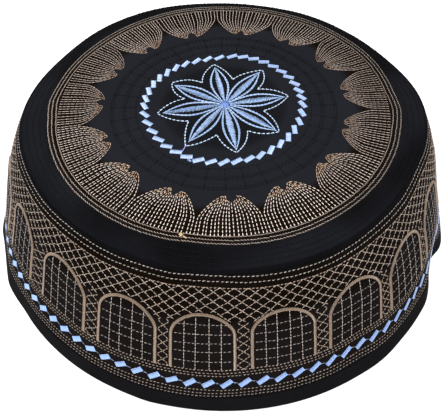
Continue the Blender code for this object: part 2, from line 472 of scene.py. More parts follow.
def sewPiece(name, rows, material):
    # joins many copies of the one stitch into a mesh that lies on the cap
    sewn = {key: np.concatenate([row[key] for row in rows]) for key in rows[0]}
    first, last = (onCap(sewn[key][:, 0], sewn[key][:, 1]) for key in ("start", "end"))
    middle = (sewn["start"] + sewn["end"]) / 2
    normal = capNormal(middle[:, 0], middle[:, 1])
    half = (last - first) / 2
    across = np.cross(normal, half)
    across /= np.linalg.norm(across, axis=1, keepdims=True)
    centre = (first + last) / 2 + normal * sewn["lift"][:, None]
    x, y, z = (stitchCorners[None, :, k, None] for k in range(3))
    points = (centre[:, None] + x * half[:, None] + y * (across * sewn["width"][:, None] / 2)[:, None]
              + z * (normal * sewn["height"][:, None])[:, None])
    count, corners = points.shape[:2]
    mesh = bpy.data.meshes.new(name)
    loops = np.concatenate([np.array(face) for face in stitchFaces])
    totals = np.array([len(face) for face in stitchFaces])
    starts = np.concatenate([[0], np.cumsum(totals)[:-1]])
    offsets = np.arange(count)[:, None]
    mesh.vertices.add(count * corners)
    mesh.vertices.foreach_set("co", intoScene(points.reshape(-1, 3)).ravel())
    mesh.loops.add(count * len(loops))
    mesh.loops.foreach_set("vertex_index", (loops[None] + offsets * corners).ravel())
    mesh.polygons.add(count * len(totals))
    mesh.polygons.foreach_set("loop_start", (starts[None] + offsets * len(loops)).ravel())
    mesh.update(calc_edges=True)
    dye = mesh.attributes.new("dye", "FLOAT_COLOR", "POINT")
    colours = np.ones((count * corners, 4), np.float32)
    colours[:, :3] = np.repeat(sewn["dye"], corners, axis=0)
    dye.data.foreach_set("color", colours.ravel())
    mesh.shade_smooth()
    mesh.materials.append(material)
    piece = bpy.data.objects.new(name, mesh)
    bpy.context.scene.collection.objects.link(piece)
    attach(piece, "root")
    print("sewn", name, count, "stitches", count * int((totals - 2).sum()), "triangles")


def readLine(points, far, at):
    return np.column_stack([np.interp(at, far, points[:, k]) for k in range(2)])


def evenly(points, pitch):
    # spots at an even distance along a bent line, and the line's direction at each
    points = np.asarray(points, float)
    far = runningLength(points)
    count = max(round(far[-1] / pitch), 1)
    at = (np.arange(count) + 0.5) * far[-1] / count
    before, after = np.maximum(at - 0.1, 0), np.minimum(at + 0.1, far[-1])
    ahead = readLine(points, far, after) - readLine(points, far, before)
    return readLine(points, far, at), ahead / np.linalg.norm(ahead, axis=1, keepdims=True)


def sidewaysOf(direction):
    # a quarter turn to the left
    return np.stack([-direction[..., 1], direction[..., 0]], -1)


def roundEnds(place, angle, level, half, slant=0.0):
    # both ends of stitches that run round the cap, half a length in degrees each way
    return [place(np.column_stack([angle + side * half, level + side * slant / 2])) for side in (-1, 1)]


# Cloth

def nearRow(along, place, width):
    return np.exp(-((along - place) / width) ** 2)


quilting = {
    "rings": (33.4, 37.2, 38.4, 42.0, 43.2),  # radius of each groove round the crown
    "spokes": 36,
    "spokeInside": 33.0,
    "spokeOutside": 44.0,
    "shoulderRings": (69.3, 71.2, 73.2, 75.0),
    "depth": 0.14,
    "spokeDepth": 0.084,
    "softness": 0.45,
}


def quiltedRelief(angle, along):
    # the grooves that quilting pulls into the crown
    q = quilting
    relief = np.zeros_like(along)
    for radius in (*q["rings"], *q["shoulderRings"]):
        relief -= q["depth"] * nearRow(along, alongAtRadius(radius), q["softness"])
    spoke = (angle * q["spokes"] / 360 + 0.5) % 1 - 0.5
    across = np.radians(spoke * 360 / q["spokes"]) * along
    inside = (along > q["spokeInside"]) & (along < q["spokeOutside"])
    return relief - q["spokeDepth"] * nearRow(across, 0, q["softness"]) * inside


groundZones = {
    # where each colour of clothLook begins and ends, and how soft its edges are, in millimetres
    # painted top light and sheen fall on cloth whose normal points upwards
    "topLitFacing": (0.975, 0.995),  # how much of the cloth's normal is upwards
    "darkMiddle": 25,  # between the petals the flat cloth gets less painted top light
    "underFans": (50, 68, 3),
    "inArches": (7.0, 42, 3),
    "underLattice": (39, 59.5, 3),
}


def groundToneWithTopLight(along, facingUp):
    # the cloth's colour: lighter where it faces up, which is painted top light and sheen,
    # and brown where tan thread lies thick on it
    radius, height = (np.interp(along, sectionAlong, section[:, k]) for k in range(2))

    def between(value, low, high, soft):
        return np.clip((value - low) / soft, 0, 1) * np.clip((high - value) / soft, 0, 1)

    zones = groundZones
    low, high = zones["topLitFacing"]
    flat = np.clip((facingUp - low) / (high - low), 0, 1)
    shares = {
        # painted top light and sheen on cloth that faces up
        "flat": flat * (1 - 0.6 * np.clip((zones["darkMiddle"] - along) / 3, 0, 1)),
        "underFans": between(radius, *zones["underFans"]) * (height > capForm["seamHeight"] + 1.2),
        "atHem": height < capForm["hemHeight"],
        "inArches": between(height, *zones["inArches"]),
        "underLattice": between(height, *zones["underLattice"]),
    }
    tone = np.tile(clothLook["black"], (len(along), 1))
    for name, share in shares.items():
        tone += share[:, None] * (np.array(clothLook[name]) - tone)
    return tone


def sectionSpot(radius, height):
    # along and depth of a point near the rim, from its radius and height
    rim, above = section[-1], section[-20]
    downwards = (rim - above) / np.linalg.norm(rim - above)
    offset = np.array([radius, height]) - rim
    return sectionAlong[-1] + float(offset @ downwards), -float(offset @ sidewaysOf(downwards))


def turnCloth(name, outline, closed, settings):
    # lays the outline out point by point, spins it, and then moves each ring on to the cap's form
    spots = np.array(outline)
    shape = np.array([onCap(0.0, along)[[0, 2]] for along in spots[:, 0]])
    facing = np.array([capNormal(np.array(0.0), np.array(along))[[0, 2]] for along in spots[:, 0]])
    even = shape - facing * spots[:, 1:2]
    even[spots[:, 0] < 0.01, 0] = 0
    deselectAll()
    bpy.ops.mesh.primitive_plane_add(size=0.001)
    cloth = bpy.context.object
    cloth.name = cloth.data.name = name
    bpy.ops.object.mode_set(mode="EDIT")
    bpy.ops.mesh.merge(type="CENTER")
    bpy.ops.transform.translate(value=(even[0, 0] * mm, 0, even[0, 1] * mm))
    path = np.vstack([even, even[:1]]) if closed else even
    for step in np.diff(path, axis=0):
        bpy.ops.mesh.extrude_region_move(TRANSFORM_OT_translate={"value": (step[0] * mm, 0, step[1] * mm)})
    bpy.ops.mesh.select_all(action="SELECT")
    bpy.ops.mesh.spin(steps=settings["steps"], angle=math.tau, center=(0, 0, 0), axis=(0, 0, 1))
    bpy.ops.mesh.select_all(action="SELECT")
    bpy.ops.mesh.remove_doubles(threshold=0.000008)
    bpy.ops.mesh.normals_make_consistent(inside=False)
    bpy.ops.object.mode_set(mode="OBJECT")
    points = np.zeros(len(cloth.data.vertices) * 3, np.float32)
    cloth.data.vertices.foreach_get("co", points)
    points = points.reshape(-1, 3) / mm
    angle = np.degrees(np.arctan2(points[:, 1], points[:, 0]))
    flat = np.column_stack([np.hypot(points[:, 0], points[:, 1]), points[:, 2]])
    nearest = np.array([np.argmin(((even - spot) ** 2).sum(1)) for spot in flat])
    along, depth = spots[nearest, 0], spots[nearest, 1]
    lift = np.where(depth < 0.01, quiltedRelief(angle, along) * settings["relief"], -depth)
    moved = onCap(angle, along, lift)
    middle = flat[:, 0] < 0.01
    moved[middle, :2] = 0
    cloth.data.vertices.foreach_set("co", intoScene(moved).ravel())
    # the tone holds painted top light where the cloth faces up
    tone = groundToneWithTopLight(along, capNormal(angle, along)[:, 2])
    tone[depth > 0.01] = clothLook["black"]
    groundAndTopLight = cloth.data.attributes.new("groundAndTopLight", "FLOAT_COLOR", "POINT")
    groundAndTopLight.data.foreach_set("color", np.column_stack([tone, np.ones(len(tone))]).astype(np.float32).ravel())
    unroll = cloth.data.uv_layers.new(name="unrolled")
    corner = np.zeros(len(cloth.data.loops), np.int32)
    cloth.data.loops.foreach_get("vertex_index", corner)
    around = angle[corner]
    for face in cloth.data.polygons:
        ends = around[face.loop_start:face.loop_start + face.loop_total]
        if ends.max() - ends.min() > 180:
            ends[ends < 0] += 360
    sheet = np.column_stack([np.radians(around) * flat[corner, 0], along[corner] + depth[corner]])
    if settings["flatUv"]:
        sheet = points[corner, :2]
    unroll.data.foreach_set("uv", sheet.astype(np.float32).ravel())
    cloth.data.shade_smooth()
    cloth.data.materials.append(clothFinish)
    cloth.data.update()
    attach(cloth, "root")
    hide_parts(settings["node"])
    triangles = sum(len(face.vertices) - 2 for face in cloth.data.polygons)
    print("turned", name, triangles, "triangles")


crownCloth = {
    "node": "crown", "slot": "crown_cloth", "steps": 320, "ringStep": 0.8, "insideStep": 5.0, "relief": 1.0,
    "flatUv": True,
}
bandCloth = {
    "node": "side_band", "slot": "band_cloth", "steps": 320, "ringStep": 1.0, "insideStep": 6.0,
    "relief": 0.8, "flatUv": False,
}
hemCloth = {
    "node": "hem", "slot": "hem_cloth", "steps": 320, "relief": 0.9, "flatUv": False,
}


def wallOutline(start, end, settings):
    # the outside from start to end in fine rings, and back along the inside in coarse ones
    out = np.linspace(start, end, round((end - start) / settings["ringStep"]) + 1)
    back = np.linspace(end, start, round((end - start) / settings["insideStep"]) + 1)
    return [(along, 0.0) for along in out] + [(along, capForm["clothWall"]) for along in back]


seamAlong = float(alongAtHeight(capForm["seamHeight"]))
hemAlong = float(alongAtHeight(capForm["hemHeight"]))
turnCloth("crownCloth", wallOutline(0.0, seamAlong, crownCloth), False, crownCloth)
turnCloth("bandCloth", wallOutline(seamAlong + capForm["seamGap"], hemAlong - capForm["seamGap"], bandCloth),
          True, bandCloth)


def hemOutline():
    # down the outside, round the lower edge and up the inside of the folded cloth
    form = capForm
    outer, inner, bend = form["rimRadius"], form["rimRadius"] - form["hemWall"], form["hemRound"]
    down = np.linspace(hemAlong, sectionSpot(outer, bend)[0], 9)
    spots = [(along, 0.0) for along in down]
    for share in np.linspace(0, 1, 5)[1:]:
        turned = share * math.pi / 2
        spots.append(sectionSpot(outer - bend * (1 - math.cos(turned)), bend * (1 - math.sin(turned))))
    for share in np.linspace(0, 1, 5):
        turned = share * math.pi / 2
        spots.append(sectionSpot(inner + bend * (1 - math.sin(turned)), bend * (1 - math.cos(turned))))
    spots += [(along, form["hemWall"]) for along in np.linspace(hemAlong + 4, hemAlong, 4)]
    return spots


turnCloth("hemCloth", hemOutline(), True, hemCloth)
print("cloth made")

# The fans of the crown

fans = {
    # direction of the notch and of the points on its two sides, how far out both start, the dark
    # cusp that follows the fan, and its painted light and shade: lightest for the front fans,
    # standing for their highlight, darker for the side and back fans, standing for shade
    "columns": ("notch", "tipBefore", "tipAfter", "notchRadius", "tipRadius", "cusp", "cuspRadius", "shade"),
    "rows": (
        (-87.8, -89.9, -85.1, 48.7, 45.9, -77.0, 55.6, 1.0),
        (-64.4, -66.6, -61.8, 48.4, 45.6, -53.0, 54.7, 0.96),
        (-39.9, -42.6, -37.6, 47.9, 45.5, -28.1, 56.0, 0.76),
        (-14.9, -17.3, -12.6, 48.2, 45.9, -2.6, 56.5, 0.57),
        (8.8, 6.9, 10.9, 49.3, 46.7, 20.5, 57.5, 0.53),
        (31.7, 29.7, 33.8, 48.9, 46.5, 44.0, 57.0, 0.57),
        (56.0, 54.0, 58.9, 49.6, 46.9, 67.8, 56.2, 0.72),
        (80.4, 78.1, 82.8, 48.4, 46.0, 92.4, 56.8, 0.80),
        (105.6, 103.3, 107.8, 48.9, 45.8, 117.0, 55.6, 0.80),
        (129.5, 127.5, 132.3, 48.4, 45.7, 139.8, 56.4, 0.73),
        (152.1, 150.1, 154.8, 49.1, 46.5, 164.6, 55.0, 0.61),
        (176.1, 173.9, 178.4, 48.7, 46.2, 189.6, 54.4, 0.59),
        (201.8, 200.0, 204.3, 48.2, 45.6, 212.3, 54.4, 0.75),
        (224.6, 222.8, 227.1, 48.0, 45.8, 236.0, 55.9, 0.90),
        (248.4, 246.2, 251.0, 48.4, 45.8, 259.8, 56.4, 1.0),
    ),
    "outside": 63.2,
    "bend": (1.4, 0.58),  # how a fan's side rounds in from the cusp to the tip
    "lines": 19,
    "pitch": 1.58,
    "room": (0.0, 0.52, 0.30, 0.52),  # how near its neighbour each line of four may come, in millimetres
    "stitchShare": 0.64,
    "longer": 0.72,  # how much longer and thinner the stitches are, and how the hue turns, in a fan's painted shade
    "thinner": 0.72,
    "shadeBrowning": (1.0, 1.16, 1.24),
    "tipStarts": 53.0,  # the radius where pale thread starts to turn tan on its way in, and how fast it does
    "tipReach": 5.0,
    "width": 0.37,
    "tipWidth": 0.34,
    "height": 0.13,
    "pale": srgb(208, 192, 180),
    "tan": srgb(188, 154, 120),
}


def fanPath(fan, before, share, side, radius):
    # a line on the flat crown that lies evenly between the side of its fan and the notch
    edge, edgeRadius, tip = ((before["cusp"], before["cuspRadius"], fan["tipBefore"]) if side < 0
                             else (fan["cusp"], fan["cuspRadius"], fan["tipAfter"]))
    deep = np.clip((edgeRadius - radius) / (edgeRadius - fan["tipRadius"]), 0, 1)
    early, late = fans["bend"]
    outer = edge + (tip - edge) * (1 - (1 - deep ** early) ** late)
    cut = np.clip((fan["notchRadius"] - radius) / (fan["notchRadius"] - fan["tipRadius"]), 0, 1)
    inner = fan["notch"] + (tip - fan["notch"]) * cut
    turned = np.radians(outer * (1 - share) + inner * share)
    return np.column_stack([radius * np.cos(turned), radius * np.sin(turned)])


def sewFans():
    f = fans
    table = tableRows(f)
    rows = []
    for number, fan in enumerate(table):
        before = dict(table[number - 1])
        before["cusp"] -= 360 * (before["cusp"] > fan["notch"])
        whole = np.concatenate([np.linspace(f["outside"], 50, 30), np.linspace(49.9, fan["tipRadius"], 30)])
        for line in range(f["lines"]):
            place = (line + 0.5 + 0.08 * random.standard_normal()) / f["lines"]
            spot = before["cusp"] + (fan["cusp"] - before["cusp"]) * place
            side = -1 if spot < fan["notch"] else 1
            edge = before["cusp"] if side < 0 else fan["cusp"]
            share = (spot - edge) / (fan["notch"] - edge)
            radius = whole[whole > fan["notchRadius"]] if share > 0.95 else whole
            path, beside = (fanPath(fan, before, near, side, radius)
                            for near in (share, share - 2 / f["lines"]))
            far = runningLength(path)
            apart = np.linalg.norm(path[:, None] - beside[None], axis=2).min(1)
            room = f["room"][min(line, f["lines"] - 1 - line) % 4] + 0.04 * random.standard_normal()
            length = far[apart > room][-1]
            count = round(length / f["pitch"])
            filled = f["stitchShare"] + f["longer"] * (1 - fan["shade"])
            pitch = length / (count - 1 + filled)
            first = pitch * np.arange(count) + 0.06 * random.standard_normal(count)
            first = np.clip(first, 0, length - pitch * filled)
            start, end = (readLine(path, far, at) for at in (first, first + pitch * filled))
            nearTip = np.clip((f["tipStarts"] - np.hypot(start[:, 0], start[:, 1])) / f["tipReach"], 0, 1)
            dye = np.array(f["pale"]) * (1 - nearTip[:, None]) + np.array(f["tan"]) * nearTip[:, None]
            # painted light and shade: each fan darkened and browned by its direction round the crown
            dye = dye * fan["shade"] ** np.array(f["shadeBrowning"])
            width = f["width"] + (f["tipWidth"] - f["width"]) * nearTip
            width = width * (1 - f["thinner"] * (1 - fan["shade"]))
            rows.append(stitches(flatPlace(start), flatPlace(end), width, f["height"], dye,
                                 lift=0.02 + 0.02 * nearTip * random.random(count), variety=0.14))
    sewPiece("fanStitches", rows, tanFinish)


sewFans()

# The black quilting stitches, between the blue ring and the fans and on the shoulder

quiltThread = {
    "columns": ("radius", "pitch"),
    "rows": ((33.4, 1.7), (37.3, 1.7), (38.2, 1.7), (42.1, 1.6), (43.0, 1.6)),
    "shoulderPitch": 1.9,
    "spokePitch": 1.7,
    "spokeStitch": 1.2,
    "stitchShare": 0.72,
    "width": 0.42,
    "height": 0.16,
    "dye": srgb(15, 15, 18),
}


def sewQuilting():
    q = quiltThread
    rows = []

    def sew(ends):
        rows.append(stitches(*ends, q["width"], q["height"], q["dye"]))

    for radius, pitch in q["rows"]:
        count = round(math.tau * radius / pitch)
        angle = (np.arange(count) + random.random()) * 360 / count
        reach = radius + 0.06 * random.standard_normal(count)
        sew(roundEnds(crownPlace, angle, reach, 180 / count * q["stitchShare"]))
    for spoke in range(quilting["spokes"]):
        outer = np.arange(quilting["spokeInside"] + 0.6, quilting["spokeOutside"] - 1, q["spokePitch"])
        angle = np.full(len(outer), spoke * 360 / quilting["spokes"] + 0.3 * random.standard_normal())
        sew([crownPlace(np.column_stack([angle, outer + length])) for length in (0, q["spokeStitch"])])
    for radius in quilting["shoulderRings"]:
        count = round(math.tau * radius / q["shoulderPitch"])
        angle = (np.arange(count) + random.random()) * 360 / count
        along = alongAtRadius(radius) + 0.08 * random.standard_normal(count)
        sew(roundEnds(np.asarray, angle, along, 180 / count * q["stitchShare"]))
    sewPiece("quiltingStitches", rows, blackFinish)


sewQuilting()

# The three rings round the fans

crownRings = {
    "radii": (63.6, 65.15, 66.6),
    "pitch": 0.95,
    "length": 1.15,
    "slant": 0.36,
    "width": 0.37,
    "height": 0.15,
    "dye": srgb(130, 115, 103),
}
ringDrift = {
    "columns": ("direction", "change"),
    "rows": (
        (-150, 0.1), (-120, 0.15), (-108, 0.05), (-103, -0.2), (-101, -0.45), (-93, -0.4), (-87, -0.15),
        (-78, 0.1), (-60, -0.2), (-30, 0.0), (-12, 0.2), (-2, 0.9), (7, 0.1), (22, 0.5), (40, 0.1),
        (140, 0.0), (166, 0.4), (175, 0.9), (184, 0.0), (200, 0.0),
    ),
}
# painted light and shade on the crown rings by direction: lightest on the left, darkest on the right
ringShade = {
    "columns": ("direction", "shade"),
    "rows": ((-90, 0.87), (-45, 0.82), (0, 0.74), (45, 0.78), (90, 0.83), (180, 1.3), (225, 1.15)),
}


def sewCrownRings():
    r = crownRings
    rows = []
    for radius in r["radii"]:
        count = round(360 / r["pitch"])
        angle = np.arange(count) * 360 / count + random.uniform(0, 1) + 0.05 * random.standard_normal(count)
        reach = radius + roundValue(ringDrift, "change", angle) + 0.04 * random.standard_normal(count)
        ends = roundEnds(crownPlace, angle, reach, math.degrees(r["length"] / 2 / radius), r["slant"])
        # painted light and shade: each stitch's dye scaled by ringShade for its direction
        dye = np.array(r["dye"]) * roundValue(ringShade, "shade", angle)[:, None]
        rows.append(stitches(*ends, r["width"], r["height"], dye, variety=0.13))
    sewPiece("crownRingStitches", rows, tanFinish)


sewCrownRings()

# Satin blocks: short threads laid side by side

satin = {
    "threadPitch": 0.40,
    "threadWidth": 0.52,
    "threadHeight": 0.18,
    "lift": 0.08,
}


def satinBlock(centre, turned, block):
    # ends of the threads of one slanted block, in flat millimetres about its own centre
    count = max(round(block["length"] / satin["threadPitch"]), 2)
    place = (np.arange(count) + 0.5) / count - 0.5
    ahead = np.array([math.cos(turned), math.sin(turned)])
    spots = np.array(centre) + place[:, None] * block["length"] * ahead
    sway = 0.03 * random.standard_normal((count, 1))
    return [spots + side * sidewaysOf(ahead) * (block["width"] / 2 + sway) for side in (-1, 1)]


def satinStitches(start, end, dye):
    return stitches(start, end, satin["threadWidth"], satin["threadHeight"], dye, satin["lift"], 0.05)


blueRing = {
    "count": 41,
    "first": 82.4,
    "radius": 30.1,
    "length": 4.3,
    "width": 1.9,
    "turn": 30.0,
    "dye": srgb(144, 167, 208),
}
blueRingDrift = {
    # how far the blocks stray outwards, in millimetres, and onwards, in degrees
    "columns": ("direction", "change", "slide"),
    "rows": (
        (0, 0.3, 5.3), (20, 0.75, 3.4), (45, 0.65, 1.5), (65, 0.6, 0.9), (82, 0.0, 0.0), (93, -0.8, 1.6),
        (105, -1.0, 2.3), (120, -0.5, 3.0), (145, 0.3, 1.8), (180, 0.1, 0.0), (205, -0.3, 2.2),
        (225, -0.1, 2.8), (255, 0.0, 2.8), (280, 0.1, 2.8), (300, -0.5, 2.8), (330, -0.5, 3.7),
        (350, 0.0, 5.5),
    ),
}


def sewBlueRing():
    b = blueRing
    rows = []
    for block in range(b["count"]):
        angle = b["first"] + block * 360 / b["count"]
        reach = b["radius"] + float(roundValue(blueRingDrift, "change", angle))
        angle += float(roundValue(blueRingDrift, "slide", angle))
        turned = math.radians(angle)
        centre = (reach * math.cos(turned), reach * math.sin(turned))
        towards = turned + math.pi / 2 + math.radians(b["turn"] + 4 * random.standard_normal())
        start, end = satinBlock(centre, towards, b)
        rows.append(satinStitches(flatPlace(start), flatPlace(end), b["dye"]))
    sewPiece("blueRingBlocks", rows, blueFinish)


sewBlueRing()

# The rosette

rosette = {
    "middle": (0.6, 0.5),
    "columns": ("tipX", "tipY", "lensX", "lensY", "valleyX", "valleyY", "bulgeBefore", "bulgeAfter",
                "lensWidth", "spread"),
    # clockwise from the petal at the back; the valley is the one after the petal
    "rows": (
        (-3.5, 24.7, -3.1, 22.6, 3.9, 15.3, 1.4, 0.9, 2.0, 3.2),
        (15.8, 20.4, 14.6, 19.2, 13.3, 9.2, 1.3, 1.6, 2.4, 3.0),
        (25.1, 5.4, 23.5, 4.6, 15.1, -3.5, 1.3, 1.3, 2.4, 3.2),
        (20.3, -15.1, 19.2, -14.5, 8.7, -14.2, 1.1, 1.2, 2.5, 3.1),
        (4.5, -25.5, 4.4, -24.0, -2.6, -16.2, 1.2, 1.0, 2.4, 2.8),
        (-14.0, -21.5, -12.8, -19.2, -13.1, -8.5, 1.1, 0.7, 2.4, 3.1),
        (-25.0, -4.0, -22.8, -3.8, -14.7, 4.2, 1.4, 1.3, 2.4, 3.3),
        (-20.0, 14.2, -18.9, 12.5, -8.1, 13.3, 1.7, 1.6, 2.3, 3.1),
    ),
    "outlinePitch": 1.60,
    "outlineLength": 1.36,
    "outlineWidth": 0.58,
    "outlineHeight": 0.24,
    "outlineDye": srgb(168, 188, 214),
    "lensStart": 2.0,
    "lensPitch": 0.50,
    "lensHeight": 0.28,
    "lensDye": srgb(112, 139, 178),
    "flankPitch": 1.5,
    "flankWidth": 0.46,
    "flankHeight": 0.20,
    "flankApart": 0.20,
    "flankDye": srgb(134, 160, 198),
    "heartRadius": 1.95,
    "heartLifts": (0.05, 0.22, 0.36),  # of its layers, each a little smaller than the one below
    "heartThreads": 9,
    "heartWidth": 0.55,
    "heartHeight": 0.32,
    "heartDye": srgb(62, 98, 162),
}


def bowed(start, end, bulge):
    # a line from start to end, bowed to its left by the bulge
    start, end = np.array(start, float), np.array(end, float)
    ahead = (end - start) / np.linalg.norm(end - start)
    control = (start + end) / 2 + sidewaysOf(ahead) * 2 * bulge
    share = np.linspace(0, 1, 24)[:, None]
    return start * (1 - share) ** 2 + 2 * control * share * (1 - share) + end * share ** 2


def sewRosette():
    r = rosette
    petals = tableRows(r)
    middle = np.array(r["middle"])
    outline, lenses, flanks = [], [], []
    for number, petal in enumerate(petals):
        before = petals[number - 1]
        tip = np.array((petal["tipX"], petal["tipY"]))
        sides = (bowed((before["valleyX"], before["valleyY"]), tip, petal["bulgeBefore"]),
                 bowed(tip, (petal["valleyX"], petal["valleyY"]), petal["bulgeAfter"]))
        for side in sides:
            spots, ahead = evenly(side, r["outlinePitch"])
            half = r["outlineLength"] / 2
            outline.append(stitches(flatPlace(spots - ahead * half), flatPlace(spots + ahead * half),
                                    r["outlineWidth"], r["outlineHeight"], r["outlineDye"]))
        lens = np.array((petal["lensX"], petal["lensY"])) - middle
        length = np.linalg.norm(lens)
        ahead = lens / length
        across = sidewaysOf(ahead)
        along = np.arange(r["lensStart"], length - 0.3, r["lensPitch"])
        half = petal["lensWidth"] / 2 * np.sin(math.pi * along / length) ** 1.15 + 0.06
        jag = 0.09 * random.standard_normal((2, len(along)))
        spots = middle + along[:, None] * ahead
        slant = 0.35 * half[:, None] * ahead
        lenses.append(stitches(flatPlace(spots - across * (half + jag[0])[:, None] - slant),
                               flatPlace(spots + across * (half + jag[1])[:, None] + slant),
                               r["lensPitch"] * 1.15, r["lensHeight"], r["lensDye"],
                               lift=0.04, variety=0.13))
        share = np.linspace(0.09, 1, 40)
        for side in (-1, 1):
            out = petal["spread"] * np.sin(math.pi * share ** 1.1)
            path = middle + share[:, None] * length * ahead + side * out[:, None] * across
            for shift in (-1, 1):
                spots, way = evenly(path, r["flankPitch"])
                full = np.sin(math.pi * (np.arange(len(spots)) + 0.5) / len(spots)) ** 0.8
                apart = r["flankApart"] * full
                spots = spots + sidewaysOf(way) * shift * apart[:, None]
                wave = 0.05 * random.standard_normal((len(spots), 1)) * sidewaysOf(way)
                flanks.append(stitches(flatPlace(spots - way + wave), flatPlace(spots + way - wave),
                                       r["flankWidth"] * (0.6 + 0.4 * full), r["flankHeight"], r["flankDye"],
                                       lift=0.02, variety=0.09))
    heart = []
    for layer, lift in enumerate(r["heartLifts"]):
        turned = np.linspace(0, math.pi, r["heartThreads"], endpoint=False) + 0.2 * layer
        reach = r["heartRadius"] - 0.35 * layer + 0.12 * random.standard_normal((r["heartThreads"], 1))
        ends = np.column_stack([np.cos(turned), np.sin(turned)]) * reach
        heart.append(stitches(flatPlace(middle - ends), flatPlace(middle + ends), r["heartWidth"],
                              r["heartHeight"], r["heartDye"], lift=lift, variety=0.12))
    sewPiece("rosetteOutline", outline, blueFinish)
    sewPiece("rosettePetals", [*lenses, *flanks, *heart], blueFinish)


sewRosette()

# The side: dotted lines, blocks, arches, lattice

sideThreadHeight = 0.15
bandLines = {
    "columns": ("height", "pitch", "length", "width", "slant", "dye"),
    "rows": (
        (58.1, 1.12, 1.00, 0.39, 0.14, srgb(150, 142, 134)),
        (55.9, 1.12, 1.00, 0.39, 0.14, srgb(150, 142, 134)),
        (53.6, 1.00, 1.00, 0.40, 0.10, srgb(142, 123, 108)),
        (20.3, 0.90, 0.85, 0.44, 0.10, srgb(140, 125, 112)),
        (19.0, 0.90, 0.85, 0.44, -0.10, srgb(132, 116, 103)),
        (17.8, 0.90, 0.85, 0.44, 0.10, srgb(132, 118, 107)),
        (11.2, 0.90, 0.85, 0.43, 0.10, srgb(130, 117, 106)),
        (9.6, 0.90, 0.85, 0.44, -0.10, srgb(130, 116, 105)),
        (8.2, 0.90, 0.85, 0.44, 0.10, srgb(128, 114, 104)),
    ),
}


def sewBandLines():
    rows = []
    for line in tableRows(bandLines):
        count = round(360 / line["pitch"])
        angle = np.arange(count) * 360 / count + random.uniform(0, 1) + 0.04 * random.standard_normal(count)
        height = line["height"] + 0.05 * random.standard_normal(count)
        half = math.degrees(line["length"] / 2 / radiusAtHeight(line["height"]))
        ends = roundEnds(bandPlace, angle, height, half, line["slant"])
        rows.append(stitches(*ends, line["width"], sideThreadHeight, line["dye"], variety=0.16))
    sewPiece("sideDottedLines", rows, quietFinish)


sewBandLines()

arcade = {
    # direction of the arch's middle, degrees from there to a leg's cord, height of the cord's top and
    # how many degrees the top stands aside
    "columns": ("middle", "legApart", "top", "lean"),
    "rows": (
        (-172.4, 7.4, 43.6, 0.0), (-153.7, 6.5, 43.9, -1.6), (-133.6, 7.6, 44.0, -0.9),
        (-114.2, 7.4, 43.8, -0.8), (-95.7, 7.4, 43.0, -0.2), (-76.8, 7.5, 43.6, -0.3),
        (-57.7, 7.6, 43.9, 0.6), (-39.1, 7.4, 43.5, 1.1), (-20.6, 7.4, 43.8, 0.8),
    ),
    "hiddenArches": 10,  # at the back, spaced evenly
    "hiddenShape": (7.4, 43.5, 0.0),
    "fullness": 1.18,  # one is an ellipse, and more is nearer to a point
    "foot": 20.2,
    "degreeLength": 1.48,  # millimetres of a degree, halfway up
    "cordWidth": 1.05,
    "cordPitch": 0.42,
    "cordStitchWidth": 0.54,
    "cordHeight": 0.45,
    "cordDye": srgb(120, 99, 80),
    "bars": (-4.3, -1.65, 1.5, 4.3),  # degrees from the arch's middle
    "barPitch": 1.42,
    "barStitch": 1.16,
    "barWidth": 0.31,
    "barHeight": 0.14,
    "barDye": srgb(172, 160, 152),
    "sills": (38.7, 35.1, 31.5, 27.8, 23.9),  # height of each
    "sillStitch": 0.72,  # in degrees, and a pitch is one degree
    "sillWidth": 0.35,
    "sillHeight": 0.12,
    "sillDye": srgb(124, 116, 112),
}


def archTable():
    a = arcade
    table = tableRows(a)
    first, last = table[-1]["middle"], table[0]["middle"] + 360
    for number in range(1, a["hiddenArches"] + 1):
        middle = first + (last - first) * number / (a["hiddenArches"] + 1)
        table.append(dict(zip(a["columns"], (middle, *a["hiddenShape"]))))
    return table


arches = archTable()


def besideArch(middle, points):
    # millimetres across from a direction, and a height, to direction and along
    return bandPlace(np.column_stack([middle + points[:, 0] / arcade["degreeLength"], points[:, 1]]))


def sewArchCords():
    a = arcade
    turned = np.linspace(math.pi, 0, 60)
    rows = []
    for arch in arches:
        half, rise = arch["legApart"] * a["degreeLength"], arch["top"] - springHeight
        bow = np.column_stack([half * np.cos(turned) + arch["lean"] * a["degreeLength"] * np.sin(turned),
                               springHeight + rise * np.sin(turned) ** a["fullness"]])
        spots, ahead = evenly(np.vstack([[(-half, a["foot"])], bow, [(half, a["foot"])]]), a["cordPitch"])
        across = sidewaysOf(ahead) * a["cordWidth"] / 2 + ahead * 0.12
        sway = 0.04 * random.standard_normal((len(spots), 1)) * sidewaysOf(ahead)
        ends = [besideArch(arch["middle"], spots + side * across + sway) for side in (-1, 1)]
        rows.append(stitches(*ends, a["cordStitchWidth"], a["cordHeight"], a["cordDye"],
                             lift=0.08, variety=0.06))
    sewPiece("archCords", rows, tanFinish)


